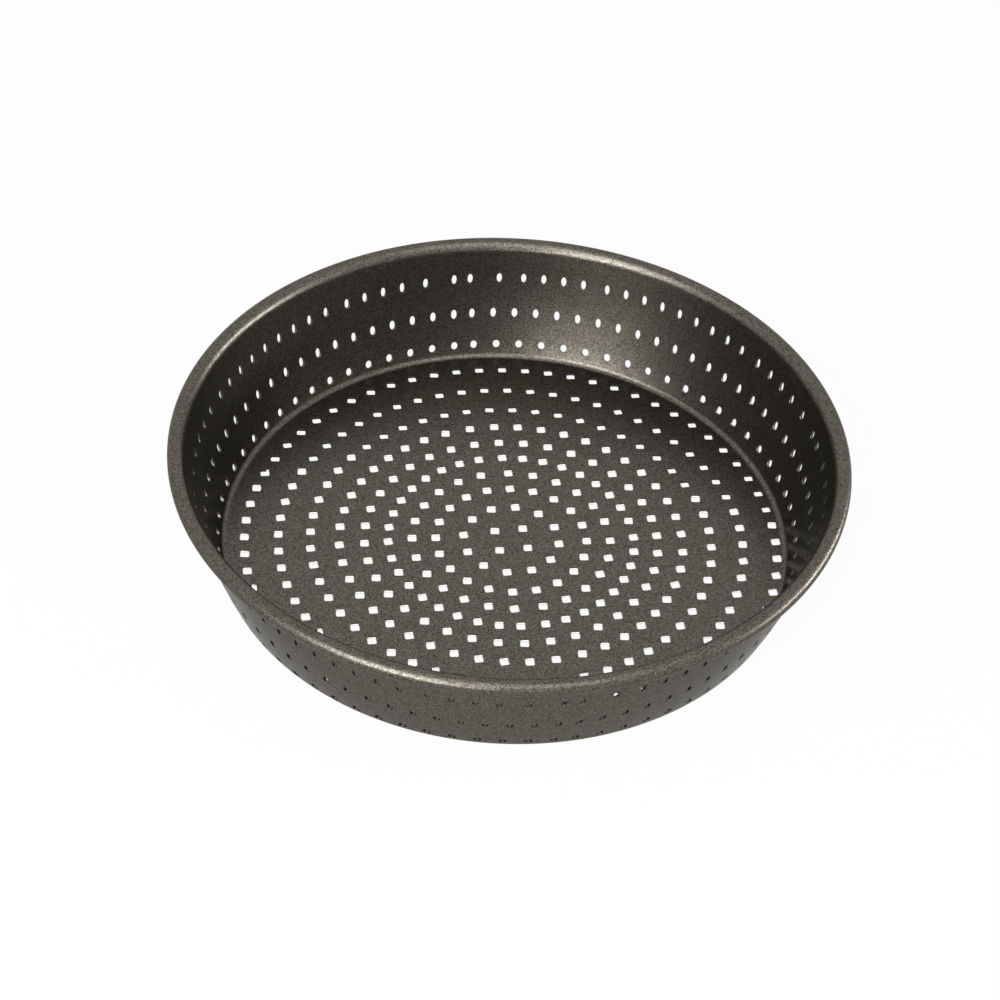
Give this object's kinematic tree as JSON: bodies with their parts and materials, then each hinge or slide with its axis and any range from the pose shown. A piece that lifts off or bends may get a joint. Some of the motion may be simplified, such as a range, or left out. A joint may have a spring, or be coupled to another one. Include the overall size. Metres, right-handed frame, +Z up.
{
  "type": "deep pie pan",
  "caption": "Round deep pie pan of coated steel sheet with a perforated floor and leaning perforated wall, its rim rolled around a stiffening wire.",
  "frame": {"origin": "centre of the pan's flat underside, on the plane that it rests on", "axes": "+Z up through the mouth; +X and +Y along the lines where the quarters of the hole pattern meet; the picture looks from the front, 12 degrees to the left of the pan's -Y side, with +X to the right"},
  "size_m": [0.2102, 0.2102, 0.0403],
  "materials": {
    "coated_sheet": "satin charcoal non-stick coating with a fine metallic fleck",
    "rim_wire_steel": "plain drawn wire, hidden inside the rolled rim"
  },
  "bodies": {
    "root": {"pan_sheet": "coated_sheet", "rim_wire": "rim_wire_steel"}
  },
  "joints": []
}
